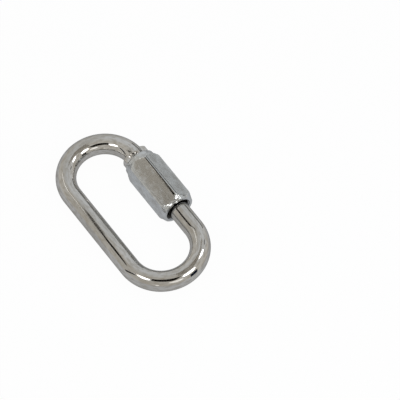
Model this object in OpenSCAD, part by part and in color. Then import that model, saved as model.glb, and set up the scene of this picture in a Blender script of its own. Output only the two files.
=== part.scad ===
// Chain quick link: an oval loop of round rod, closed by a hexagonal sleeve nut on two threaded stubs.
// It lies as it comes to rest, on the plain side of the loop and on the lower edge of the nut.
// X runs along the loop in the way the nut travels to open, Y points to the nut's side, Z is up.

/* [Loop] */
// Diameter of the bent rod
rod_d = 6; // [5:0.1:7]
// Clear length inside the loop
inner_length = 45; // [40:0.5:60]
// Clear width inside the loop
inner_width = 16; // [13:0.5:21]

/* [Thread] */
// Advance of the nut in one turn
pitch = 1.25; // [1:0.05:1.5]
// Rise of the thread's pitch surface above the rod
thread_rise = 0.55; // [0.4:0.05:0.8]
// Height from the pitch surface to the crest
crest_rise = 0.4; // [0.2:0.05:0.5]
// Turns that hold the closed nut on the short stub
hold_turns = 3; // [2:1:4]
// Turns that clear the gate once the short stub is free
gate_turns = 5; // [4:1:6]
// Bare rod left inside the far mouth of the closed nut
bare_end = 1.5; // [1:0.25:3]
// Length of the lead chamfer on a stub's free end
lead_in = 0.6; // [0.3:0.1:1]

/* [Sleeve nut] */
// Size across the flats, for a spanner
nut_af = 10; // [9.5:0.1:12]
// Angle of the tapers that cut the corners, to the nut's axis
taper_angle = 30; // [20:1:40]
// Flat ring round the mouth at the lug end
lug_end_rim = 0.35; // [0.1:0.05:0.6]
// Flat ring round the mouth at the far end
far_end_rim = 0.9; // [0.3:0.05:1]
// Length of the turned collar at the lug end
lug_collar = 1.4; // [0.6:0.1:2]
// Length of the turned collar at the far end
far_collar = 0.75; // [0.4:0.05:1.5]
// Rise of the lug end's collar above its ring
lug_collar_rise = 0.5; // [0.2:0.05:0.6]
// Rise of the far end's collar above its ring
far_collar_rise = 0.2; // [0.1:0.05:0.3]
// Length of the broken edge on a collar
collar_edge = 0.3; // [0.1:0.05:0.4]
// How far the open nut runs on to the bend
bend_run = 2.5; // [0:0.25:3]

/* [Stop lugs] */
// How far each lug stands out of the rod
lug_reach = 1.2; // [0.9:0.1:2]
// Length along the rod
lug_length = 3.2; // [2.5:0.1:3.6]
// Depth of the pinch that squeezed the lugs out, on each side of the rod
pinch_depth = 1; // [0.5:0.1:1.2]
// Corner radius of the lugs beside their seat
lug_round = 0.4; // [0.2:0.1:0.6]
// Corner radius of the lugs on the side of the bend
lug_back_round = 1.2; // [0.6:0.1:1.5]
// Angle of the pinch marks' end walls to the rod's axis
pinch_angle = 50; // [40:5:70]
// Straight rod between the lugs' seat and the bend
lug_from_bend = 1.5; // [0:0.1:2.5]
// Run of the short stub into the lugs
stub_root = 0.4; // [0.2:0.1:0.5]
// Whole rod left at each end of a pinch mark
pinch_edge = 0.2; // [0.1:0.05:0.3]

/* [Fits] */
// Radial running clearance between stub and nut
thread_play = 0.05; // [0.02:0.01:0.1]
// Clearance between the lugs and the closed nut
seat_play = 0.05; // [0.02:0.01:0.1]

/* [Hidden] */
$fn = 96;
steel = [0.66, 0.66, 0.64];
satin_steel = [0.56, 0.55, 0.53];
// Overlap of a cutter past the surface that it cuts
past = 1;

rod_r = rod_d / 2;
bend_r = inner_width / 2 + rod_r;
half_straight = (inner_length - inner_width) / 2;

stub_r = rod_r + thread_rise;
bore_r = stub_r + thread_play;
mouth_r = bore_r + crest_rise;
mouth_depth = mouth_r - bore_r;

travel = (hold_turns + gate_turns) * pitch;
seat_x = lug_from_bend - half_straight;
nut_x = seat_x + seat_play;
nut_length = half_straight + bend_run - travel - seat_x;
short_end_x = seat_x + hold_turns * pitch;
long_end_x = seat_x + travel;
bare_x = nut_x + nut_length - bare_end;

corner_r = nut_af / 2 / cos(30);
lug_end_r = mouth_r + lug_end_rim;
far_end_r = mouth_r + far_end_rim;
lug_collar_r = lug_end_r + lug_collar_rise;
far_collar_r = far_end_r + far_collar_rise;
// The turned tapers run on past the corners of the hexagon
taper_r = corner_r + past;
lug_taper = lug_collar + (taper_r - lug_collar_r) / tan(taper_angle);
far_taper = far_collar + (taper_r - far_collar_r) / tan(taper_angle);

lug_span = rod_d + 2 * lug_reach;
lug_thickness = rod_d - 2 * pinch_depth;
pinch_length = lug_length - stub_root - 2 * pinch_edge;
pinch_x = seat_x - stub_root - pinch_edge - pinch_length / 2;
pinch_floor = pinch_length - 2 * pinch_depth / tan(pinch_angle);

// The loop tips until the nut's lower edge lies level with the underside of the plain side
tilt = asin((corner_r - rod_r) / (2 * bend_r));
loop_y = (rod_r - nut_af / 2) / 2;
loop_z = rod_r + bend_r * sin(tilt);
nut_y = loop_y + bend_r * cos(tilt);
nut_z = corner_r;

// Turns an outline of (radius, place) points about the X axis
module turned(outline) {
    rotate([90, 0, 90])
        rotate_extrude()
            polygon(outline);
}

// Round section of the rod, at its distance from the loop's long axis
module rod_section() {
    translate([bend_r, 0])
        circle(r = rod_r);
}

// Straight rod on the nut's side that leaves the -X bend and runs for a length
module straight_rod(run) {
    translate([-half_straight, 0, 0])
        rotate([90, 0, 90])
            linear_extrude(height = run)
                rod_section();
}

// Half-circle bend at the +X end of the loop
module bend() {
    translate([half_straight, 0, 0])
        rotate([0, 0, -90])
            rotate_extrude(angle = 180)
                rod_section();
}

// Short threaded stub, rooted in the lugs, with a chamfer at the gate
module short_stub() {
    turned([
        [0, seat_x - stub_root],
        [stub_r, seat_x - stub_root],
        [stub_r, short_end_x - lead_in],
        [stub_r - lead_in, short_end_x],
        [0, short_end_x]
    ]);
}

// Long threaded stub, with a chamfer at the gate and a run-out that sinks into the bare rod
module long_stub() {
    turned([
        [0, long_end_x],
        [stub_r - lead_in, long_end_x],
        [stub_r, long_end_x + lead_in],
        [stub_r, bare_x - thread_rise],
        [stub_r - 2 * thread_rise, bare_x + thread_rise],
        [0, bare_x + thread_rise]
    ]);
}

// Outline of the lug pair from above, with its seat face on the Y axis
module lug_outline() {
    seat_c = -lug_round;
    back_c = lug_back_round - lug_length;
    half_span = lug_span / 2;
    translate([back_c, -half_span])
        square([seat_c - back_c, lug_span]);
    for (corner = [[seat_c, lug_round], [back_c, lug_back_round]]) {
        translate([corner[0], 0])
            square([2 * corner[1], lug_span - 2 * corner[1]], center = true);
        for (side = [-1, 1])
            translate([corner[0], side * (half_span - corner[1])])
                circle(r = corner[1]);
    }
}

// Pair of lugs that the pinch squeezed out of the rod, with rounded tips
module lugs() {
    intersection() {
        translate([seat_x, 0, 0])
            linear_extrude(height = lug_thickness, center = true)
                lug_outline();
        translate([seat_x - lug_length - past, 0, 0])
            rotate([0, 90, 0])
                cylinder(h = lug_length + 2 * past, r = lug_span / 2);
    }
}

// Mark of the pinching die in the top of the rod, with sloping end walls
module pinch_mark() {
    translate([pinch_x, bend_r, lug_thickness / 2])
        rotate([90, 0, 0])
            linear_extrude(height = 2 * rod_d, center = true)
                polygon([
                    [-pinch_floor / 2, 0],
                    [pinch_floor / 2, 0],
                    [pinch_length / 2, pinch_depth],
                    [pinch_length / 2, pinch_depth + past],
                    [-pinch_length / 2, pinch_depth + past],
                    [-pinch_length / 2, pinch_depth]
                ]);
}

// Bent rod with its plain side and the two threaded ends
module bent_rod() {
    bend();
    mirror([1, 0, 0])
        bend();
    mirror([0, 1, 0])
        straight_rod(2 * half_straight);
    straight_rod(half_straight + short_end_x - lead_in);
    mirror([1, 0, 0])
        straight_rod(half_straight - long_end_x - lead_in);
    translate([0, bend_r, 0]) {
        short_stub();
        long_stub();
    }
}

// Whole body in the plane of the loop
module loop() {
    difference() {
        bent_rod();
        pinch_mark();
        mirror([0, 0, 1])
            pinch_mark();
    }
    translate([0, bend_r, 0])
        lugs();
}

module link_body() {
    color(steel)
        translate([0, loop_y, loop_z])
            rotate([tilt, 0, 0])
                loop();
}

// Hexagonal bar with a corner up and a corner down
module hexagon_bar() {
    rotate([0, 90, 0])
        cylinder(h = nut_length, r = corner_r, $fn = 6);
}

// Turned envelope: at each end a ring, a collar with a broken edge, and a taper that cuts the corners
module turned_ends() {
    turned([
        [0, 0],
        [lug_end_r, 0],
        [lug_end_r + lug_collar_rise * 2 / 3, collar_edge],
        [lug_collar_r, lug_collar],
        [taper_r, lug_taper],
        [taper_r, nut_length - far_taper],
        [far_collar_r, nut_length - far_collar],
        [far_end_r + far_collar_rise * 2 / 3, nut_length - collar_edge],
        [far_end_r, nut_length],
        [0, nut_length]
    ]);
}

// Through bore with a countersunk mouth at each end
module nut_bore() {
    turned([
        [0, -past],
        [mouth_r + past, -past],
        [bore_r, mouth_depth],
        [bore_r, nut_length - mouth_depth],
        [mouth_r + past, nut_length + past],
        [0, nut_length + past]
    ]);
}

module sleeve_nut() {
    color(satin_steel)
        translate([nut_x, nut_y, nut_z])
            difference() {
                intersection() {
                    hexagon_bar();
                    turned_ends();
                }
                nut_bore();
            }
}

link_body();
sleeve_nut();
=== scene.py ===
"""A chain quick link on a white studio floor: the bent, threaded rod and the sleeve nut that closes it."""

import logging
import math
from collections.abc import Callable
from dataclasses import dataclass, field
from enum import Enum

import bmesh
import bpy
from mathutils import Matrix, Vector


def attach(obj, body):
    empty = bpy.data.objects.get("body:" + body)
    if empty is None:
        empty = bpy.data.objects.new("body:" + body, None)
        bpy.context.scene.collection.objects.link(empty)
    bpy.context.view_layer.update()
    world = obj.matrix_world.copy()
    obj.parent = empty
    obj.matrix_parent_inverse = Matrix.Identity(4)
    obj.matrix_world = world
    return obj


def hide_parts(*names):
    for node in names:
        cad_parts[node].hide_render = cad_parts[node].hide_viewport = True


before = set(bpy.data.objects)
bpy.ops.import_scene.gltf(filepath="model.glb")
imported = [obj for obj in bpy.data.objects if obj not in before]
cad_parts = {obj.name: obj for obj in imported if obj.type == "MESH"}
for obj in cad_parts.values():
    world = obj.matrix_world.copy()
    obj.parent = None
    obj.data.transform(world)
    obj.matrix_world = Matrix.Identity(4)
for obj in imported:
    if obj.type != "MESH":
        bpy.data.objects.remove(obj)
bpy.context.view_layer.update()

LOG = logging.getLogger("quick_link")
MM = 0.001
IMAGE_SIDE = 400
SENSOR_MM = 36.0
LAY = "lay"
# Millimetres within which doubled points are merged
MERGE = 0.001
# Millimetres within which a cut is taken to pass through a point
CUT = 0.0001
# Millimetres within which a rim lies level with the end of the nut
LEVEL = 0.01
# Keeps a share of a direction off zero
TINY = 1e-6
# Place of the axis of the stubs and the nut, in millimetres
GATE_AXIS = (0.0, 9.912238, 5.773503)

Colour = tuple[float, float, float]
Scale = tuple[float, float, float]
Span = tuple[float, float]
Fade = tuple[float, float, float, float]
Loop = list[bmesh.types.BMEdge]
Socket = bpy.types.NodeSocket


class Body(Enum):
    """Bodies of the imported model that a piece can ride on."""

    LINK = "link"
    NUT = "nut"


class Slot(Enum):
    """Material slots of the record."""

    ROD = "plated_rod"
    NUT = "plated_nut"


class Mark(Enum):
    """Vertex values that the finishes read."""

    WEAR = "wear"
    # Painted shade: darkening painted into thread roots, down the nut's bore and at its mouths, and a painted
    # dark reflection along one upper corner
    PAINTED_SHADE = "painted_shade"
    MATT = "matt"
    # Painted reflection: a brown patch on one upper flat of the nut, where a warm dark thing is mirrored
    PAINTED_REFLECTION = "stain_and_reflection"


class End(Enum):
    """The two ends of the sleeve nut."""

    LUG = -1
    FAR = 1


def soft_min(a: float, b: float, blend: float) -> float:
    """Smaller of two values, rounded off where they meet.

    Args:
        a: First value.
        b: Second value.
        blend: Difference over which the two run together.

    Returns:
        A value that is never above the smaller of the two.
    """
    share = max(0.0, 1.0 - abs(a - b) / blend)
    return min(a, b) - blend * share * share / 4


def soft_max(a: float, b: float, blend: float) -> float:
    """Larger of two values, rounded off where they meet."""
    return -soft_min(-a, -b, blend)


def ramp(value: float, low: float, high: float) -> float:
    """Share from 0 at low to 1 at high, with a soft start and end."""
    t = min(1.0, max(0.0, (value - low) / (high - low)))
    return t * t * (3 - 2 * t)


def band(value: float, fade: Fade) -> float:
    """Share that comes up between the first two of four values and goes down between the last two."""
    start, full, falling, end = fade
    return ramp(value, start, full) * (1 - ramp(value, falling, end))


def marked_mesh() -> bmesh.types.BMesh:
    """Starts a mesh with the vertex values that the finishes read."""
    bm = bmesh.new()
    for mark in Mark:
        bm.verts.layers.float.new(mark.value)
    bm.verts.layers.float_vector.new(LAY)
    return bm


def mark_layer(bm: bmesh.types.BMesh, mark: Mark) -> bmesh.types.BMLayerItem:
    """Layer that holds one of the vertex values."""
    return bm.verts.layers.float[mark.value]


def lay_layer(bm: bmesh.types.BMesh) -> bmesh.types.BMLayerItem:
    """Layer that holds the coordinates along, across and up a piece."""
    return bm.verts.layers.float_vector[LAY]


def whole(bm: bmesh.types.BMesh) -> list[bmesh.types.BMVert | bmesh.types.BMEdge | bmesh.types.BMFace]:
    """All points, edges and faces of a mesh."""
    return list(bm.verts) + list(bm.edges) + list(bm.faces)


def ring_edges(ring: list[bmesh.types.BMVert]) -> Loop:
    """Edges of a ring of points, in an order that is the same each run."""
    return list(dict.fromkeys(e for v in ring for e in v.link_edges))


def draw_out(bm: bmesh.types.BMesh, edges: Loop) -> tuple[set[bmesh.types.BMVert], Loop]:
    """Extrudes an open end by one row, which still lies on the old one.

    Args:
        bm: Mesh that is drawn.
        edges: Open end.

    Returns:
        The points of the new row, and the new open end.
    """
    drawn = bmesh.ops.extrude_edge_only(bm, edges=edges)["geom"]
    verts = {g for g in drawn if isinstance(g, bmesh.types.BMVert)}
    return verts, [g for g in drawn if isinstance(g, bmesh.types.BMEdge) and set(g.verts) <= verts]


def close_ends(bm: bmesh.types.BMesh) -> None:
    """Fills the open ends of a mesh."""
    bmesh.ops.holes_fill(bm, edges=[e for e in bm.edges if e.is_boundary], sides=0)


def boundary(bm: bmesh.types.BMesh, where: Callable[[Vector], bool]) -> Loop:
    """Open edges of a mesh whose middle passes a test.

    Args:
        bm: Mesh to look through.
        where: Test on an edge's middle point.

    Returns:
        The open edges there.
    """
    open_edges = [e for e in bm.edges if e.is_boundary]
    return [e for e in open_edges if where((e.verts[0].co + e.verts[1].co) / 2)]


class NodeBoard:
    """Node tree of one material, with short calls to add and join nodes."""

    def __init__(self, name: str) -> None:
        """Starts an empty material of that name."""
        self.material = bpy.data.materials.new(name)
        self.material.use_nodes = True
        self.tree = self.material.node_tree
        self.tree.nodes.clear()

    def add(self, kind: str, **settings: object) -> bpy.types.Node:
        """Adds a node.

        Args:
            kind: Blender's name of the node type.
            settings: Properties, or input values by socket name with _ for a blank.

        Returns:
            The new node.
        """
        node = self.tree.nodes.new(kind)
        for key, value in settings.items():
            if hasattr(node, key):
                setattr(node, key, value)
            else:
                node.inputs[key.replace("_", " ")].default_value = value
        return node

    def join(self, out: Socket, into: Socket) -> None:
        """Links an output socket to an input socket."""
        self.tree.links.new(out, into)

    def finish(self, surface: Socket) -> bpy.types.Material:
        """Joins a surface to the output, and gives the finished material."""
        out = self.add("ShaderNodeOutputMaterial")
        self.join(surface, out.inputs["Surface"])
        return self.material

    def noise(self, place: Socket, scale: Scale, detail: float) -> Socket:
        """Adds a noise that is stretched by axis.

        Args:
            place: Coordinates to read.
            scale: Cells per millimetre along, across and up.
            detail: Octaves of the noise.

        Returns:
            The noise value, from 0 to 1.
        """
        mapping = self.add("ShaderNodeMapping", Scale=scale)
        texture = self.add("ShaderNodeTexNoise", Scale=1.0, Detail=detail)
        self.join(place, mapping.inputs["Vector"])
        self.join(mapping.outputs["Vector"], texture.inputs["Vector"])
        return texture.outputs["Factor" if "Factor" in texture.outputs else "Fac"]

    def span(self, value: Socket, start: Span, to: Span) -> Socket:
        """Adds a clamped change of range.

        Args:
            value: Value to change.
            start: The two ends of the old range.
            to: The two ends of the new range.

        Returns:
            The changed value.
        """
        (low, high), (least, most) = start, to
        node = self.add("ShaderNodeMapRange", From_Min=low, From_Max=high, To_Min=least, To_Max=most)
        self.join(value, node.inputs["Value"])
        return node.outputs["Result"]

    def up_to(self, share: Socket, most: float) -> Socket:
        """Adds a value that grows from 0 to the most with a share."""
        return self.span(share, (0.0, 1.0), (0.0, most))

    def math(self, operation: str, a: Socket, b: Socket | float) -> Socket:
        """Adds a sum of two values.

        Args:
            operation: Name of the sum.
            a: First value.
            b: Second value, a socket or a number.

        Returns:
            The result, kept between 0 and 1.
        """
        node = self.add("ShaderNodeMath", operation=operation, use_clamp=True)
        self.join(a, node.inputs[0])
        if isinstance(b, float):
            node.inputs[1].default_value = b
        else:
            self.join(b, node.inputs[1])
        return node.outputs["Value"]

    def mix(self, share: Socket, a: Socket | Colour, b: Socket | Colour) -> Socket:
        """Adds a mix of two colours.

        Args:
            share: How much of the second colour shows.
            a: First colour, a socket or three numbers.
            b: Second colour, a socket or three numbers.

        Returns:
            The mixed colour.
        """
        node = self.add("ShaderNodeMix", data_type="RGBA")
        self.join(share, node.inputs[0])
        for index, colour in ((6, a), (7, b)):
            if isinstance(colour, tuple):
                node.inputs[index].default_value = (*colour, 1.0)
            else:
                self.join(colour, node.inputs[index])
        return node.outputs[2]

    def mark(self, mark: Mark) -> Socket:
        """Reads a vertex value of the piece."""
        return self.add("ShaderNodeAttribute", attribute_name=mark.value).outputs["Fac"]

    def lay(self) -> Socket:
        """Reads the coordinates that follow the piece: along it, across it and up, in millimetres."""
        return self.add("ShaderNodeAttribute", attribute_name=LAY).outputs["Vector"]

    def bump(self, height: Socket, depth: float, under: bpy.types.Node | None) -> bpy.types.Node:
        """Adds a bump on top of another.

        Args:
            height: Height, from 0 to 1.
            depth: Metres that a height of 1 stands up.
            under: Bump below this one, if there is one.

        Returns:
            The bump node.
        """
        node = self.add("ShaderNodeBump", Strength=1.0, Distance=depth)
        self.join(height, node.inputs["Height"])
        if under:
            self.join(under.outputs["Normal"], node.inputs["Normal"])
        return node


@dataclass(frozen=True)
class PlatedSteel:
    """Plated steel with drawing lines, cloudy patches, stains, polished edges, painted shade and a painted
    reflection.

    Scales are in cells per millimetre along, across and up; heights are in metres.
    """

    name: str
    bright: Colour
    dull: Colour
    stain_and_reflection: Colour
    worn: Colour
    polish: Span
    worn_roughness: float
    cloud_scale: Scale
    stain_scale: Scale
    stain_share: float
    line_scale: Scale
    line_height: float
    ripple_scale: Scale
    ripple_height: float
    # Colour of the painted shade, and the roughness added with it
    painted_shade: Colour = (0.045, 0.043, 0.038)
    painted_shade_roughness: float = 0.3
    matt_roughness: float = 0.07
    # How much the painted reflection adds to the stain noise
    reflection_pull: float = 0.2
    stain_from: Span = (0.45, 0.62)
    edge_tint: Colour = (0.66, 0.66, 0.66)
    cloud_edges: Span = (0.42, 0.58)
    polish_edges: Span = (0.3, 0.7)
    line_edges: Span = (0.5, 0.75)
    line_share: float = 0.5
    cloud_detail: float = 3.0
    line_detail: float = 2.0
    ripple_detail: float = 1.0

    def material(self) -> bpy.types.Material:
        """Builds the node material of this finish."""
        board = NodeBoard(self.name)
        place = board.lay()
        cloud = board.noise(place, self.cloud_scale, self.cloud_detail)
        lines = board.noise(place, self.line_scale, self.line_detail)
        ripple = board.noise(place, self.ripple_scale, self.ripple_detail)
        relief = board.bump(lines, self.line_height, board.bump(ripple, self.ripple_height, None))
        shader = board.add("ShaderNodeBsdfPrincipled", Metallic=1.0, Specular_Tint=(*self.edge_tint, 1.0))
        board.join(self.colour(board, place, cloud), shader.inputs["Base Color"])
        board.join(self.roughness(board, cloud, lines), shader.inputs["Roughness"])
        board.join(relief.outputs["Normal"], shader.inputs["Normal"])
        return board.finish(shader.outputs["BSDF"])

    def colour(self, board: NodeBoard, place: Socket, cloud: Socket) -> Socket:
        """Adds the colour: cloudy plating, then the worn edges, the stains with a painted reflection on
        marked places, and the painted shade.

        Args:
            board: Material that is built.
            place: Coordinates that follow the piece.
            cloud: Noise of the cloudy patches.

        Returns:
            The colour.
        """
        plating = board.mix(board.span(cloud, self.cloud_edges, (0.0, 1.0)), self.bright, self.dull)
        worn = board.mix(board.mark(Mark.WEAR), plating, self.worn)
        # Random stains, with the painted reflection added where the mesh is marked
        stain_and_reflection = board.noise(place, self.stain_scale, self.cloud_detail)
        stain_and_reflection = board.math("ADD", stain_and_reflection, board.up_to(board.mark(Mark.PAINTED_REFLECTION), self.reflection_pull))
        stained_and_reflecting = board.mix(board.span(stain_and_reflection, self.stain_from, (0.0, self.stain_share)), worn, self.stain_and_reflection)
        return board.mix(board.mark(Mark.PAINTED_SHADE), stained_and_reflecting, self.painted_shade)

    def roughness(self, board: NodeBoard, cloud: Socket, lines: Socket) -> Socket:
        """Adds the roughness: cloudy polish with drawing lines, then the worn edges, the places of painted
        shade and matt places.

        Args:
            board: Material that is built.
            cloud: Noise of the cloudy patches.
            lines: Noise of the drawing lines.

        Returns:
            The roughness.
        """
        low, high = self.polish
        rough = board.span(cloud, self.polish_edges, self.polish)
        drawn = board.span(lines, self.line_edges, (0.0, (high - low) * self.line_share))
        worn = board.add("ShaderNodeMix", data_type="FLOAT", B=self.worn_roughness)
        board.join(board.mark(Mark.WEAR), worn.inputs[0])
        board.join(board.math("ADD", rough, drawn), worn.inputs[2])
        painted_shade_rough = board.up_to(board.mark(Mark.PAINTED_SHADE), self.painted_shade_roughness)
        rough = board.math("ADD", worn.outputs[0], painted_shade_rough)
        return board.math("ADD", rough, board.up_to(board.mark(Mark.MATT), self.matt_roughness))


@dataclass(frozen=True)
class WhiteFloor:
    """Pale matt floor that the eye and the metal see as white, with the object's shadow left in it."""

    name: str = "white_floor"
    paint: Colour = (0.77, 0.80, 0.85)
    seen_share: float = 0.97
    mirrored_share: float = 0.9
    mirrored_white: float = 0.55

    def material(self) -> bpy.types.Material:
        """Builds the node material of the floor."""
        board = NodeBoard(self.name)
        path = board.add("ShaderNodeLightPath")
        mirrored = board.math("ADD", path.outputs["Is Glossy Ray"], path.outputs["Is Transmission Ray"])
        strength = board.math("MULTIPLY", mirrored, self.mirrored_white)
        strength = board.math("ADD", path.outputs["Is Camera Ray"], strength)
        mirrored = board.math("MULTIPLY", mirrored, self.mirrored_share)
        seen = board.math("MULTIPLY", path.outputs["Is Camera Ray"], self.seen_share)
        matt = board.add("ShaderNodeBsdfDiffuse", Color=(*self.paint, 1.0))
        white = board.add("ShaderNodeEmission")
        board.join(strength, white.inputs["Strength"])
        mixed = board.add("ShaderNodeMixShader")
        board.join(board.math("ADD", seen, mirrored), mixed.inputs[0])
        board.join(matt.outputs["BSDF"], mixed.inputs[1])
        board.join(white.outputs["Emission"], mixed.inputs[2])
        return board.finish(mixed.outputs["Shader"])


@dataclass(frozen=True)
class MattCard:
    """Matt card of one tone, for the studio."""

    name: str
    tone: Colour

    def material(self) -> bpy.types.Material:
        """Builds the node material of the card."""
        board = NodeBoard(self.name)
        matt = board.add("ShaderNodeBsdfDiffuse", Color=(*self.tone, 1.0))
        return board.finish(matt.outputs["BSDF"])


POLISHED_ROD = PlatedSteel(
    name="polished_plated_rod",
    bright=(0.66, 0.655, 0.645),
    dull=(0.55, 0.545, 0.53),
    stain_and_reflection=(0.44, 0.415, 0.375),
    worn=(0.66, 0.655, 0.645),
    polish=(0.035, 0.085),
    worn_roughness=0.07,
    cloud_scale=(0.05, 0.32, 0.32),
    stain_scale=(0.6, 1.8, 1.8),
    stain_share=0.68,
    line_scale=(0.05, 3.6, 3.6),
    line_height=0.0000012,
    ripple_scale=(0.12, 0.3, 0.3),
    ripple_height=0.00004,
)
SATIN_NUT = PlatedSteel(
    name="satin_plated_nut",
    bright=(0.72, 0.755, 0.785),
    dull=(0.63, 0.65, 0.665),
    stain_and_reflection=(0.40, 0.38, 0.345),
    worn=(0.64, 0.665, 0.68),
    painted_shade_roughness=0.08,
    polish=(0.2, 0.3),
    worn_roughness=0.06,
    reflection_pull=0.5,
    stain_from=(0.48, 1.1),
    cloud_scale=(0.25, 0.4, 0.4),
    stain_scale=(0.7, 1.1, 1.1),
    stain_share=1.0,
    line_scale=(1.2, 3.4, 3.4),
    line_height=0.000003,
    ripple_scale=(0.18, 0.3, 0.3),
    ripple_height=0.00002,
)


@dataclass
class Piece:
    """One finished mesh of the link, with the CAD node that it stands for."""

    name: str
    node: str
    body: Body
    slot: Slot
    finish: PlatedSteel
    sharp_angle: float = 40.0

    def dress(self, bm: bmesh.types.BMesh) -> bpy.types.Object:
        """Turns a mesh in millimetres into the dressed object.

        Args:
            bm: Finished mesh, which is freed.

        Returns:
            The object, riding on its body.
        """
        bmesh.ops.recalc_face_normals(bm, faces=bm.faces)
        bmesh.ops.scale(bm, vec=(MM, MM, MM), verts=bm.verts)
        mesh = bpy.data.meshes.new(self.name)
        bm.to_mesh(mesh)
        bm.free()
        mesh.shade_smooth()
        mesh.set_sharp_from_angle(angle=math.radians(self.sharp_angle))
        mesh.materials.append(self.finish.material())
        piece = bpy.data.objects.new(self.name, mesh)
        bpy.context.scene.collection.objects.link(piece)
        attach(piece, self.body.value)
        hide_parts(self.node)
        LOG.info("%s: %d faces, stands for %s", self.name, len(mesh.polygons), self.node)
        return piece


@dataclass
class Thread:
    """Right-hand thread about the X axis, by the radii of its root and crest, in millimetres."""

    root: float
    crest: float
    pitch: float = 1.25
    crest_flat: float = 0.16
    phase: float = -13.0
    turn_steps: int = 72
    flank_steps: int = 3
    # Painted shade in the thread's roots: its darkness, and the share of the depth where it starts
    shade: float = 0.9
    shade_from: float = 0.2

    def profile(self) -> list[tuple[float, float]]:
        """Points of one pitch of the thread, as places along the axis and radii."""
        flank = abs(self.crest - self.root) * math.tan(math.radians(30))
        root_flat = self.pitch - 2 * flank - self.crest_flat
        steps = self.flank_steps
        rise = [(root_flat / 2 + flank * i / steps, i / steps) for i in range(steps + 1)]
        points = [(0.0, 0.0)] + rise
        points += [(self.pitch - x, share) for x, share in reversed(points)]
        return [(x, self.root + (self.crest - self.root) * share) for x, share in points]

    def sleeve(self, start: float, end: float, limit: Callable[[float, float], float]) -> bmesh.types.BMesh:
        """Screws the profile along the axis and trims it to length.

        Args:
            start: Where the sleeve begins along X.
            end: Where it ends along X.
            limit: Gives the radius that is left at a place and radius.

        Returns:
            An open sleeve with a flat rim at each end.
        """
        bm = marked_mesh()
        painted_shade, lay = mark_layer(bm, Mark.PAINTED_SHADE), lay_layer(bm)
        first = self.phase + (math.floor((start - self.phase) / self.pitch) - 1) * self.pitch
        turns = math.ceil((end - first) / self.pitch) + 1
        row = [bm.verts.new((first + x, 0.0, radius)) for x, radius in self.profile()]
        edges = [bm.edges.new(pair) for pair in zip(row, row[1:])]
        bmesh.ops.spin(
            bm,
            geom=row + edges,
            cent=(0, 0, 0),
            axis=(1, 0, 0),
            dvec=(self.pitch / self.turn_steps, 0, 0),
            angle=turns * math.tau,
            steps=turns * self.turn_steps,
            use_merge=False,
            use_duplicate=False,
        )
        bmesh.ops.remove_doubles(bm, verts=bm.verts, dist=MERGE)
        for place, side in ((start, -1), (end, 1)):
            plane = {"plane_co": (place, 0, 0), "plane_no": (side, 0, 0)}
            bmesh.ops.bisect_plane(bm, geom=whole(bm), dist=CUT, clear_outer=True, **plane)
        for vert in bm.verts:
            radius = math.hypot(vert.co.y, vert.co.z)
            depth = (radius - self.crest) / (self.root - self.crest)
            # Paints shade into the roots, darker the deeper the point lies
            vert[painted_shade] = self.shade * ramp(depth, self.shade_from, 1.0)
            share = limit(vert.co.x, radius) / radius
            vert.co.y *= share
            vert.co.z *= share
            vert[lay] = vert.co
        bmesh.ops.remove_doubles(bm, verts=bm.verts, dist=MERGE)
        return bm


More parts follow.
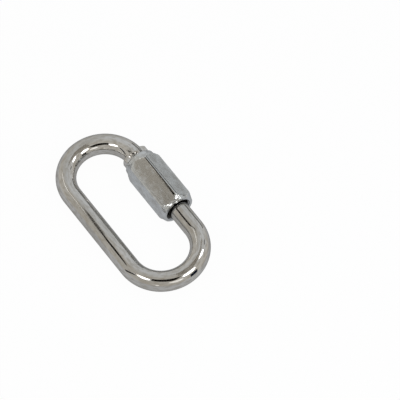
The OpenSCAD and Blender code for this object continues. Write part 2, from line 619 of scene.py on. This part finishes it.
@dataclass
class LinkBody:
    """Bent rod with its lugs and threaded stubs. Sizes are in millimetres, in the plane of the loop."""

    rod_r: float = 3.0
    bend_r: float = 11.0
    half_straight: float = 14.5
    tilt: float = math.radians(7.242473)
    loop_place: Vector = field(default_factory=lambda: Vector((0.0, -1.0, 4.38675)))
    # Threaded stubs: their ends, the root in the lugs and the run-out
    seat_x: float = -13.0
    stub_root: float = 0.4
    short_end: float = -9.25
    long_end: float = -3.0
    bare_x: float = 5.55
    stub_end_r: float = 2.95
    root_rise: float = 0.25
    root_slope: float = 1.2
    runout_past: float = 0.05
    runout_sink: float = 0.04
    # Lugs, and the pinch that pushed them out of the rod
    lug_length: float = 3.2
    lug_half_span: float = 4.1
    lug_half_thick: float = 2.0
    pinch_start: float = -14.85
    pinch_end: float = -13.65
    pinch_depth: float = 0.55
    pinch_side: float = -1.2
    pinch_flat: float = 1.2
    pinch_half_width: float = 2.4
    lug_back_rise: Span = (-0.2, 1.5)
    lug_waist: float = 0.6
    lug_blend: float = 1.2
    seat_drop: float = 0.3
    seat_drop_run: float = 0.5
    root_blend: float = 0.5
    press_run: float = 2.5
    press_past: float = 0.1
    matt_run: float = 2.0
    lug_wear: float = 0.5
    lug_wear_rise: Span = (1.2, 1.4)
    # How the rod is drawn: where its ends lie inside the stubs, and its rows
    long_tuck: float = 1.2
    short_tuck: float = 1.0
    past_seat: float = 0.3
    fine_bend: float = math.radians(14)
    section: int = 160
    bend_steps: int = 84
    lug_steps: int = 30
    long_rows: int = 12
    plain_rows: int = 24
    seat_rows: int = 20
    short_rows: int = 3
    thread: Thread = field(default_factory=lambda: Thread(root=3.19, crest=3.95))

    def build(self) -> bpy.types.Object:
        """Makes the whole body.

        Returns:
            The dressed object.
        """
        bm = self.bent_rod()
        self.press_lugs(bm)
        bm.transform(Matrix.Translation(self.loop_place) @ Matrix.Rotation(self.tilt, 4, "X"))
        for stub in (self.short_stub(), self.long_stub()):
            stub.transform(Matrix.Translation(GATE_AXIS))
            self.add_shell(bm, stub)
        return Piece("threaded_loop", "link_body", Body.LINK, Slot.ROD, POLISHED_ROD).dress(bm)

    @staticmethod
    def add_shell(bm: bmesh.types.BMesh, shell: bmesh.types.BMesh) -> None:
        """Adds one mesh to another and frees it."""
        mesh = bpy.data.meshes.new("shell")
        shell.to_mesh(mesh)
        shell.free()
        bm.from_mesh(mesh)
        bpy.data.meshes.remove(mesh)

    def bent_rod(self) -> bmesh.types.BMesh:
        """Sweeps the round section from the long stub round the loop to the short stub."""
        bm = marked_mesh()
        upright = Matrix.Rotation(math.pi / 2, 4, "Y")
        start = Matrix.Translation((self.long_end + self.long_tuck, self.bend_r, 0)) @ upright
        ring = bmesh.ops.create_circle(bm, segments=self.section, radius=self.rod_r, matrix=start)
        edges = ring_edges(ring["verts"])
        edges = self.run(bm, edges, self.half_straight - self.long_end - self.long_tuck, self.long_rows)
        edges = self.turn(bm, edges, self.half_straight, math.pi, self.bend_steps)
        edges = self.run(bm, edges, -2 * self.half_straight, self.plain_rows)
        edges = self.turn(bm, edges, -self.half_straight, math.pi - self.fine_bend, self.bend_steps)
        edges = self.turn(bm, edges, -self.half_straight, self.fine_bend, self.lug_steps)
        edges = self.run(bm, edges, self.seat_x + self.half_straight + self.past_seat, self.seat_rows)
        self.run(bm, edges, self.short_end - self.short_tuck - self.seat_x - self.past_seat, self.short_rows)
        close_ends(bm)
        lay = lay_layer(bm)
        for vert in bm.verts:
            vert[lay] = (*self.rod_place(vert.co.x, vert.co.y), vert.co.z)
        return bm

    def rod_place(self, x: float, y: float) -> tuple[float, float]:
        """Finds a point of the loop's plane on the rod.

        Args:
            x: Place along the loop.
            y: Place across the loop.

        Returns:
            The way from the gate round the loop to that place, and the offset from the rod's middle line.
        """
        straight = min(self.half_straight, max(-self.half_straight, x))
        over = x - straight
        bent = self.bend_r * math.atan2(abs(over), y)
        across = math.hypot(over, y) - self.bend_r
        if y < 0 and over == 0:
            return 2 * self.half_straight + math.pi * self.bend_r - x, across
        if x > 0:
            return straight + bent, across
        return self.way_round() + straight - bent, across

    def way_round(self) -> float:
        """Length of the rod's middle line, once round the loop."""
        return 4 * self.half_straight + math.tau * self.bend_r

    @staticmethod
    def run(bm: bmesh.types.BMesh, edges: Loop, length: float, steps: int) -> Loop:
        """Draws a section straight along X.

        Args:
            bm: Mesh that is drawn.
            edges: Open end of the rod.
            length: Length to add, negative towards -X.
            steps: Rows to add.

        Returns:
            The new open end.
        """
        for _ in range(steps):
            verts, edges = draw_out(bm, edges)
            bmesh.ops.translate(bm, vec=(length / steps, 0, 0), verts=list(verts))
        return edges

    @staticmethod
    def turn(bm: bmesh.types.BMesh, edges: Loop, centre_x: float, angle: float, steps: int) -> Loop:
        """Bends a section about the Z axis through a place on X.

        Args:
            bm: Mesh that is bent.
            edges: Open end of the rod.
            centre_x: Place of the bend's centre.
            angle: Angle of the bend, from the nut's side round the end of the loop.
            steps: Rows to add.

        Returns:
            The new open end.
        """
        verts = list(dict.fromkeys(v for e in edges for v in e.verts))
        spun = bmesh.ops.spin(
            bm,
            geom=verts + edges,
            cent=(centre_x, 0, 0),
            axis=(0, 0, -1),
            angle=angle,
            steps=steps,
            use_duplicate=False,
        )
        return [g for g in spun["geom_last"] if isinstance(g, bmesh.types.BMEdge)]

    def press_lugs(self, bm: bmesh.types.BMesh) -> None:
        """Squeezes the rod beside the nut's seat, which pushes a lug out on each side."""
        wear, matt, lay = mark_layer(bm, Mark.WEAR), mark_layer(bm, Mark.MATT), lay_layer(bm)
        back = self.seat_x - self.lug_length
        for vert in bm.verts:
            along, u, w = vert[lay]
            place = along - self.way_round()
            if not back - self.press_run < place < self.seat_x + self.press_past:
                continue
            vert[matt] = ramp(place, back - self.matt_run, back)
            radius = math.hypot(u, w)
            share = self.pressed_radius(place, u / radius, w / radius) / radius
            vert[wear] = self.lug_wear * ramp(share, *self.lug_wear_rise)
            angle = max(0.0, -self.half_straight - place) / self.bend_r
            reach = self.bend_r + u * share
            straight = max(place, -self.half_straight)
            vert.co = (straight - reach * math.sin(angle), reach * math.cos(angle), w * share)

    def pressed_radius(self, place: float, across: float, up: float) -> float:
        """Radius of the squeezed section in one direction.

        Args:
            place: Place along the rod.
            across: Share of the direction in the plane of the loop.
            up: Share of the direction out of that plane.

        Returns:
            The radius there.
        """
        aside = abs(across * self.rod_r - self.pinch_side)
        beside = 1 - ramp(aside, self.pinch_flat, self.pinch_half_width)
        rod = self.rod_r - self.pinch_depth * ramp(place, self.pinch_start, self.pinch_end) * beside
        rise, steep = abs(up) + TINY, abs(across) + TINY
        from_back = place - self.seat_x + self.lug_length
        dropped = 1 - self.seat_drop * ramp(place, self.seat_x - self.seat_drop_run, self.seat_x)
        waist = self.rod_r * self.lug_waist
        reach = waist + (self.lug_half_span - waist) * ramp(from_back, *self.lug_back_rise) * dropped
        lug = soft_min(self.lug_half_thick / rise, reach / steep, self.lug_blend)
        return soft_max(rod, min(lug, self.lug_half_span), self.root_blend)

    def short_stub(self) -> bmesh.types.BMesh:
        """Short stub: rooted in the lugs, chamfered at the gate."""
        bm = self.thread.sleeve(self.seat_x - self.stub_root, self.short_end, self.short_limit)
        close_ends(bm)
        return bm

    def short_limit(self, x: float, radius: float) -> float:
        """Radius that the chamfer and the root of the short stub leave."""
        root = self.rod_r + self.root_rise + (x - self.seat_x + self.stub_root) * self.root_slope
        return min(radius, self.stub_end_r + self.short_end - x, root)

    def long_stub(self) -> bmesh.types.BMesh:
        """Long stub: chamfered at the gate, with a run-out that sinks into the bare rod."""
        bm = self.thread.sleeve(self.long_end, self.bare_x + self.runout_past, self.long_limit)
        close_ends(bm)
        return bm

    def long_limit(self, x: float, radius: float) -> float:
        """Radius that the chamfer and the run-out of the long stub leave."""
        runout = self.rod_r - self.runout_sink + (self.bare_x + self.runout_past - x)
        return min(radius, self.stub_end_r + x - self.long_end, runout)


@dataclass(frozen=True)
class TurnedEnd:
    """Turned end of the nut: a flat ring, a collar with a broken edge, and a taper that cuts the corners."""

    ring_r: float
    collar_rise: float
    collar: float
    edge: float = 0.3
    edge_share: float = 2 / 3
    slope: float = math.tan(math.radians(30))
    blend: float = 0.12
    ring_round: float = 0.1
    mark_pitch: float = 0.5
    mark_depth: float = 0.05
    reach: float = 3.4
    ring_rows: int = 5
    rows: int = 50

    def radius(self, depth: float) -> float:
        """Turned radius at a distance from the end."""
        broken = self.ring_r + self.collar_rise * self.edge_share * depth / self.edge
        along = (depth - self.edge) / (self.collar - self.edge)
        collar = self.ring_r + self.collar_rise * (self.edge_share + (1 - self.edge_share) * along)
        taper = self.ring_r + self.collar_rise + (depth - self.collar) * self.slope
        mark = self.mark_depth * (1 - math.cos(math.tau * depth / self.mark_pitch)) / 2
        return soft_max(soft_min(broken, collar, self.blend), taper, self.blend) - mark

    def stations(self) -> list[tuple[float, float]]:
        """Rows from the flat ring, over its rounded edge, up to where the taper leaves the corners.

        Returns:
            Distances from the end, with the turned radius there.
        """
        turn = self.ring_round
        quarter = [math.pi / 2 * i / self.ring_rows for i in range(self.ring_rows)]
        rows = [(turn * (1 - math.cos(a)), turn * (1 - math.sin(a))) for a in quarter]
        rows += [(turn + (self.reach - turn) * i / self.rows, 0.0) for i in range(self.rows + 1)]
        return [(depth, self.radius(depth) - lost) for depth, lost in rows]


@dataclass
class SleeveNut:
    """Hexagonal sleeve nut with turned ends and a threaded bore. Sizes are in millimetres."""

    across_flats: float = 10.0
    start: float = -12.95
    length: float = 20.0
    lug_end: TurnedEnd = TurnedEnd(ring_r=4.35, collar_rise=0.5, collar=1.4)
    far_end: TurnedEnd = TurnedEnd(ring_r=4.9, collar_rise=0.2, collar=0.75)
    mouth_r: float = 4.02
    # Depths in millimetres of the painted shade in each mouth: a dark band, then a light line, then dark from
    # the last depth in
    mouth_shade_bands: tuple[float, ...] = (0.02, 0.07, 0.17, 0.27, 0.42)
    corner_blend: float = 0.16
    corner_span: float = 10.5
    # Angles in degrees of the upper flat that gets the painted reflection
    reflection_span: Fade = (88.0, 94.0, 124.0, 154.0)
    end_wear: float = 0.75
    end_cut: Span = (-0.25, 0.05)
    corner_wear_from: Span = (20.5, 24.0)
    corner_wear_least: float = 0.35
    # Dark reflection line painted along the upper corner: its angles in degrees, its run along the nut, its
    # darkness
    corner_wear_up: Span = (0.6, 0.95)
    corner_line_span: Fade = (90.0, 91.2, 94.0, 95.4)
    corner_line_run: Span = (-6.0, 3.0)
    corner_line_depth: float = 0.78
    roll_width: float = 0.65
    roll_depth: float = 0.06
    taper_blend: float = 0.2
    face_steps: int = 10
    corner_steps: int = 40
    body_rows: int = 9
    # Half a pitch on from the stubs' thread, so that the ridges lie in the stubs' grooves
    thread: Thread = field(default_factory=lambda: Thread(root=4.01, crest=3.27, phase=-12.375))

    def build(self) -> bpy.types.Object:
        """Makes the whole nut.

        Returns:
            The dressed object.
        """
        bm = self.outside()
        LinkBody.add_shell(bm, self.inside())
        for end in End:
            place = self.start if end is End.LUG else self.start + self.length
            rim = boundary(bm, lambda p, place=place: abs(p.x - place) < LEVEL)
            bmesh.ops.triangle_fill(bm, use_beauty=True, edges=rim, normal=(end.value, 0, 0))
        bm.transform(Matrix.Translation(GATE_AXIS))
        return Piece("hexagon_sleeve", "sleeve_nut", Body.NUT, Slot.NUT, SATIN_NUT).dress(bm)

    def inside(self) -> bmesh.types.BMesh:
        """Makes the threaded bore, with painted shade: a dark band just inside each mouth, a light line left
        unshaded behind it, then dark all the way in.
        """
        bm = self.thread.sleeve(self.start, self.start + self.length, self.mouth_limit)
        for depth in self.mouth_shade_bands:
            for place in (self.start + depth, self.start + self.length - depth):
                plane = {"plane_co": (place, 0, 0), "plane_no": (1, 0, 0)}
                bmesh.ops.bisect_plane(bm, geom=whole(bm), dist=CUT, **plane)
        painted_shade = mark_layer(bm, Mark.PAINTED_SHADE)
        *mouth_shade, deep = self.mouth_shade_bands
        for vert in bm.verts:
            depth = self.from_end(vert.co.x)
            # Painted shade: a dark band at the mouth, then dark deeper in
            vert[painted_shade] = max(band(depth, tuple(mouth_shade)), ramp(depth, mouth_shade[-1], deep))
        return bm

    def from_end(self, x: float) -> float:
        """Distance from the nearer end."""
        return min(x - self.start, self.start + self.length - x)

    def mouth_limit(self, x: float, radius: float) -> float:
        """Radius of the bore where a countersink opens each mouth."""
        return max(radius, self.mouth_r - self.from_end(x))

    @staticmethod
    def from_flat(angle: float) -> float:
        """Angle from the middle of the nearest flat."""
        return abs((angle + math.radians(30)) % math.radians(60) - math.radians(30))

    def angles(self) -> list[float]:
        """Angles of the section's points, close together at the six corners."""
        half, corner = math.radians(30), math.radians(self.corner_span)
        flat = [(half - corner) * (2 * i / self.face_steps - 1) for i in range(self.face_steps)]
        edge = [half - corner + 2 * corner * i / self.corner_steps for i in range(self.corner_steps)]
        return [math.radians(60 * face) + a for face in range(6) for a in flat + edge]

    def hexagon(self, angle: float) -> float:
        """Radius of the rounded hexagon at an angle from a flat's middle."""
        half, away = self.across_flats / 2, self.from_flat(angle)
        rounded = soft_min(half / math.cos(away), half / math.cos(math.radians(60) - away), self.corner_blend)
        inward = half * (math.tan(math.radians(30)) - math.tan(away))
        return rounded - self.roll_depth * max(0.0, 1 - inward / self.roll_width) ** 2

    def sections(self) -> list[tuple[float, float]]:
        """Rows along the nut, with the turned radius at each."""
        near = [(self.start + depth, r) for depth, r in self.lug_end.stations()]
        far = [(self.start + self.length - depth, r) for depth, r in reversed(self.far_end.stations())]
        step = (far[0][0] - near[-1][0]) / self.body_rows
        return near + [(near[-1][0] + step * i, near[-1][1]) for i in range(1, self.body_rows)] + far

    def outside(self) -> bmesh.types.BMesh:
        """Draws the hexagon along the nut and turns its ends down."""
        bm = marked_mesh()
        wear, stain_and_reflection, painted_shade = (mark_layer(bm, mark) for mark in (Mark.WEAR, Mark.PAINTED_REFLECTION, Mark.PAINTED_SHADE))
        lay, angles = lay_layer(bm), self.angles()
        upright = Matrix.Rotation(math.pi / 2, 4, "Y")
        loop = bmesh.ops.create_circle(bm, segments=len(angles), radius=1.0, matrix=upright)["verts"]
        edges = ring_edges(loop)
        for index, (x, turned) in enumerate(self.sections()):
            if index:
                new, edges = draw_out(bm, edges)
                loop = [next(o for e in v.link_edges if (o := e.other_vert(v)) in new) for v in loop]
            for vert, angle in zip(loop, angles):
                hexagon = self.hexagon(angle)
                radius = soft_min(hexagon, turned, self.taper_blend)
                vert.co = (x, radius * math.cos(angle), radius * math.sin(angle))
                vert[lay] = vert.co
                cut = ramp(hexagon - turned, *self.end_cut)
                vert[wear] = max(self.corner_wear(angle), self.end_wear * cut)
                # Painted reflection: brown painted on one upper flat, left off the turned ends
                vert[stain_and_reflection] = band(math.degrees(angle), self.reflection_span) * (1 - cut)
                # Painted reflection: a dark line along the lug half of the upper corner
                vert[painted_shade] = self.painted_corner_line(math.degrees(angle), x) * (1 - cut)
        return bm

    def painted_corner_line(self, angle: float, x: float) -> float:
        """How dark the reflection line painted along the upper corner is, by angle in degrees and place."""
        return self.corner_line_depth * band(angle, self.corner_line_span) * (1 - ramp(x, *self.corner_line_run))

    def corner_wear(self, angle: float) -> float:
        """How smooth a point of the hexagon is rubbed: most along its upper corners."""
        corner = ramp(math.degrees(self.from_flat(angle)), *self.corner_wear_from)
        least = self.corner_wear_least
        return corner * (least + (1 - least) * ramp(math.sin(angle), *self.corner_wear_up))


@dataclass(frozen=True)
class Lamp:
    """Soft lamp, placed by its direction from the object as the camera sees it."""

    name: str
    azimuth: float
    elevation: float
    width: float
    height: float
    radiance: float
    turn: float = 0.0
    distance: float = 0.24


@dataclass(frozen=True)
class Card:
    """Card that the polished metal mirrors, placed as a lamp is."""

    name: str
    azimuth: float
    elevation: float
    width: float
    height: float
    turn: float = 0.0
    distance: float = 0.3
    tone: Colour = (0.02, 0.02, 0.02)


@dataclass
class Studio:
    """Floor, soft light, cards and camera."""

    azimuth: float = math.radians(48.44)
    elevation: float = math.radians(55.372)
    roll: float = math.radians(7.549)
    distance: float = 1.01132
    aim: Vector = field(default_factory=lambda: Vector((0.00476, 0.01970, 0.0)))
    focal_pixels: float = 3500.0
    clip_end: float = 50.0
    tent: Colour = (0.60, 0.575, 0.525)
    tent_back: Colour = (0.66, 0.67, 0.67)
    tent_back_from: Span = (170, 42)
    tent_back_edges: Span = (0.6, 0.97)
    floor_side: float = 8.0
    floor_drop: float = 0.00002
    lamps: tuple[Lamp, ...] = (
        Lamp("lamp_left", -38, 50, 0.075, 0.06, 5.0),
        Lamp("lamp_right", 60, 48, 0.09, 0.072, 5.0),
        Lamp("lamp_right_back", 113, 57, 0.036, 0.064, 5.0),
        Lamp("slit_left_back", -108, 46, 0.13, 0.014, 1.45, turn=33, distance=0.31),
        Lamp("slit_front", -1, 7, 0.03, 0.014, 1.6),
        Lamp("front_panel", 30, 30, 0.1, 0.07, 0.8),
    )
    cards: tuple[Card, ...] = (
        Card("camera_card", 6, 58, 0.19, 0.115, turn=-9, tone=(0.015, 0.012, 0.01)),
        Card("left_card", -58.6, 22.5, 0.032, 0.19, turn=-18.5, tone=(0.02, 0.025, 0.045)),
        Card("right_card", 66, 13.4, 0.08, 0.135, tone=(0.01, 0.015, 0.035)),
        Card("left_strip", -109.2, 60.1, 0.095, 0.0085, -29.7, 0.319, (0.02, 0.016, 0.012)),
        Card("left_strip_foot", -86.8, 50.5, 0.088, 0.02, -48.4, 0.301, (0.02, 0.016, 0.012)),
        Card("back_card", 157, 16, 0.14, 0.08, tone=(0.32, 0.33, 0.33)),
        Card("right_back_card", 128, 43, 0.035, 0.03, tone=(0.03, 0.03, 0.03)),
        Card("roof_card", 120, 78, 0.2, 0.1, tone=(0.62, 0.57, 0.50)),
    )

    def build(self) -> None:
        """Sets up the floor, the light, the cards and the camera."""
        bpy.context.scene.view_settings.view_transform = "Standard"
        self.lay_floor()
        self.light_tent()
        for lamp in self.lamps:
            self.hang_lamp(lamp)
        for card in self.cards:
            self.hang_card(card)
        self.place_camera()

    def axes(self) -> tuple[Vector, Vector]:
        """Level directions to the camera's right and towards the camera."""
        right = Vector((math.cos(self.azimuth), math.sin(self.azimuth), 0))
        near = Vector((math.sin(self.azimuth), -math.cos(self.azimuth), 0))
        return right, near

    def hung(self, azimuth: float, elevation: float, distance: float, turn: float = 0.0) -> Matrix:
        """Place that faces the object from a direction.

        Args:
            azimuth: Degrees to the camera's right.
            elevation: Degrees above the floor.
            distance: Metres from the object.
            turn: Degrees about the line to the object.

        Returns:
            A matrix whose -Z axis points at the object, with X level before the turn.
        """
        right, near = self.axes()
        a, e = math.radians(azimuth), math.radians(elevation)
        level = right * math.sin(a) + near * math.cos(a)
        back = level * math.cos(e) + Vector((0, 0, math.sin(e)))
        across = Vector((0, 0, 1)).cross(back).normalized()
        turned = Matrix((across, back.cross(across), back)).transposed().to_4x4()
        return Matrix.Translation(back * distance) @ turned @ Matrix.Rotation(math.radians(turn), 4, "Z")

    def lay_floor(self) -> None:
        """Lays the white floor under the object."""
        place = Matrix.Translation((0, 0, -self.floor_drop))
        floor = self.sheet("studio_floor", self.floor_side, self.floor_side, place)
        floor.data.materials.append(WhiteFloor().material())

    def sheet(self, name: str, width: float, height: float, place: Matrix) -> bpy.types.Object:
        """Makes a flat stage sheet.

        Args:
            name: Name of the sheet.
            width: Size along its own X.
            height: Size along its own Y.
            place: Where it goes.

        Returns:
            The sheet.
        """
        bm = bmesh.new()
        bmesh.ops.create_grid(bm, x_segments=1, y_segments=1, size=0.5)
        bmesh.ops.scale(bm, vec=(width, height, 1), verts=bm.verts)
        bm.transform(place)
        mesh = bpy.data.meshes.new(name)
        bm.to_mesh(mesh)
        bm.free()
        sheet = bpy.data.objects.new(name, mesh)
        bpy.context.scene.collection.objects.link(sheet)
        return sheet

    def light_tent(self) -> None:
        """Sets the soft light of the tent: warm round the object, paler at the back, white to the eye."""
        world = bpy.data.worlds.new("light_tent")
        world.use_nodes = True
        tree = world.node_tree
        place = tree.nodes.new("ShaderNodeTexCoord")
        facing = tree.nodes.new("ShaderNodeVectorMath")
        facing.operation = "DOT_PRODUCT"
        facing.inputs[1].default_value = self.hung(*self.tent_back_from, 1.0).translation
        share = tree.nodes.new("ShaderNodeMapRange")
        share.inputs["From Min"].default_value, share.inputs["From Max"].default_value = self.tent_back_edges
        tone = tree.nodes.new("ShaderNodeMix")
        tone.data_type = "RGBA"
        tone.inputs[6].default_value = (*self.tent, 1.0)
        tone.inputs[7].default_value = (*self.tent_back, 1.0)
        path = tree.nodes.new("ShaderNodeLightPath")
        seen = tree.nodes.new("ShaderNodeMix")
        seen.data_type = "RGBA"
        seen.inputs[7].default_value = (1.0, 1.0, 1.0, 1.0)
        tree.links.new(place.outputs["Generated"], facing.inputs[0])
        tree.links.new(facing.outputs["Value"], share.inputs["Value"])
        tree.links.new(share.outputs["Result"], tone.inputs[0])
        tree.links.new(path.outputs["Is Camera Ray"], seen.inputs[0])
        tree.links.new(tone.outputs[2], seen.inputs[6])
        tree.links.new(seen.outputs[2], tree.nodes["Background"].inputs["Color"])
        bpy.context.scene.world = world

    def hang_lamp(self, lamp: Lamp) -> None:
        """Hangs one soft lamp."""
        light = bpy.data.lights.new(lamp.name, "AREA")
        light.shape = "ELLIPSE"
        light.size, light.size_y = lamp.width, lamp.height
        # A flat lamp gives pi times its radiance for each part of its area, here an ellipse
        light.energy = lamp.radiance * math.pi * math.pi / 4 * lamp.width * lamp.height
        holder = bpy.data.objects.new(lamp.name, light)
        holder.matrix_world = self.hung(lamp.azimuth, lamp.elevation, lamp.distance, lamp.turn)
        holder.visible_camera = False
        bpy.context.scene.collection.objects.link(holder)
        LOG.info("%s hung", lamp.name)

    def hang_card(self, card: Card) -> None:
        """Hangs one card, which shows only as a reflection."""
        place = self.hung(card.azimuth, card.elevation, card.distance, card.turn)
        sheet = self.sheet(card.name, card.width, card.height, place)
        sheet.data.materials.append(MattCard(card.name, card.tone).material())
        sheet.visible_camera = False
        sheet.visible_diffuse = False
        sheet.visible_shadow = False
        LOG.info("%s hung", card.name)

    def place_camera(self) -> None:
        """Places the camera at the photograph's angle."""
        right, near = self.axes()
        back = near * math.cos(self.elevation) + Vector((0, 0, math.sin(self.elevation)))
        turned = Matrix((right, back.cross(right), back)).transposed().to_4x4()
        camera = bpy.data.cameras.new("camera")
        camera.sensor_width = SENSOR_MM
        camera.lens = self.focal_pixels / IMAGE_SIDE * SENSOR_MM
        camera.clip_end = self.clip_end
        holder = bpy.data.objects.new("camera", camera)
        holder.matrix_world = (
            Matrix.Translation(self.aim + back * self.distance) @ turned @ Matrix.Rotation(self.roll, 4, "Z")
        )
        bpy.context.scene.collection.objects.link(holder)
        bpy.context.scene.camera = holder


def main() -> None:
    """Builds the link and the studio."""
    logging.basicConfig(level=logging.INFO, format="%(name)s: %(message)s")
    LinkBody().build()
    SleeveNut().build()
    Studio().build()


if __name__ == "__main__":
    main()
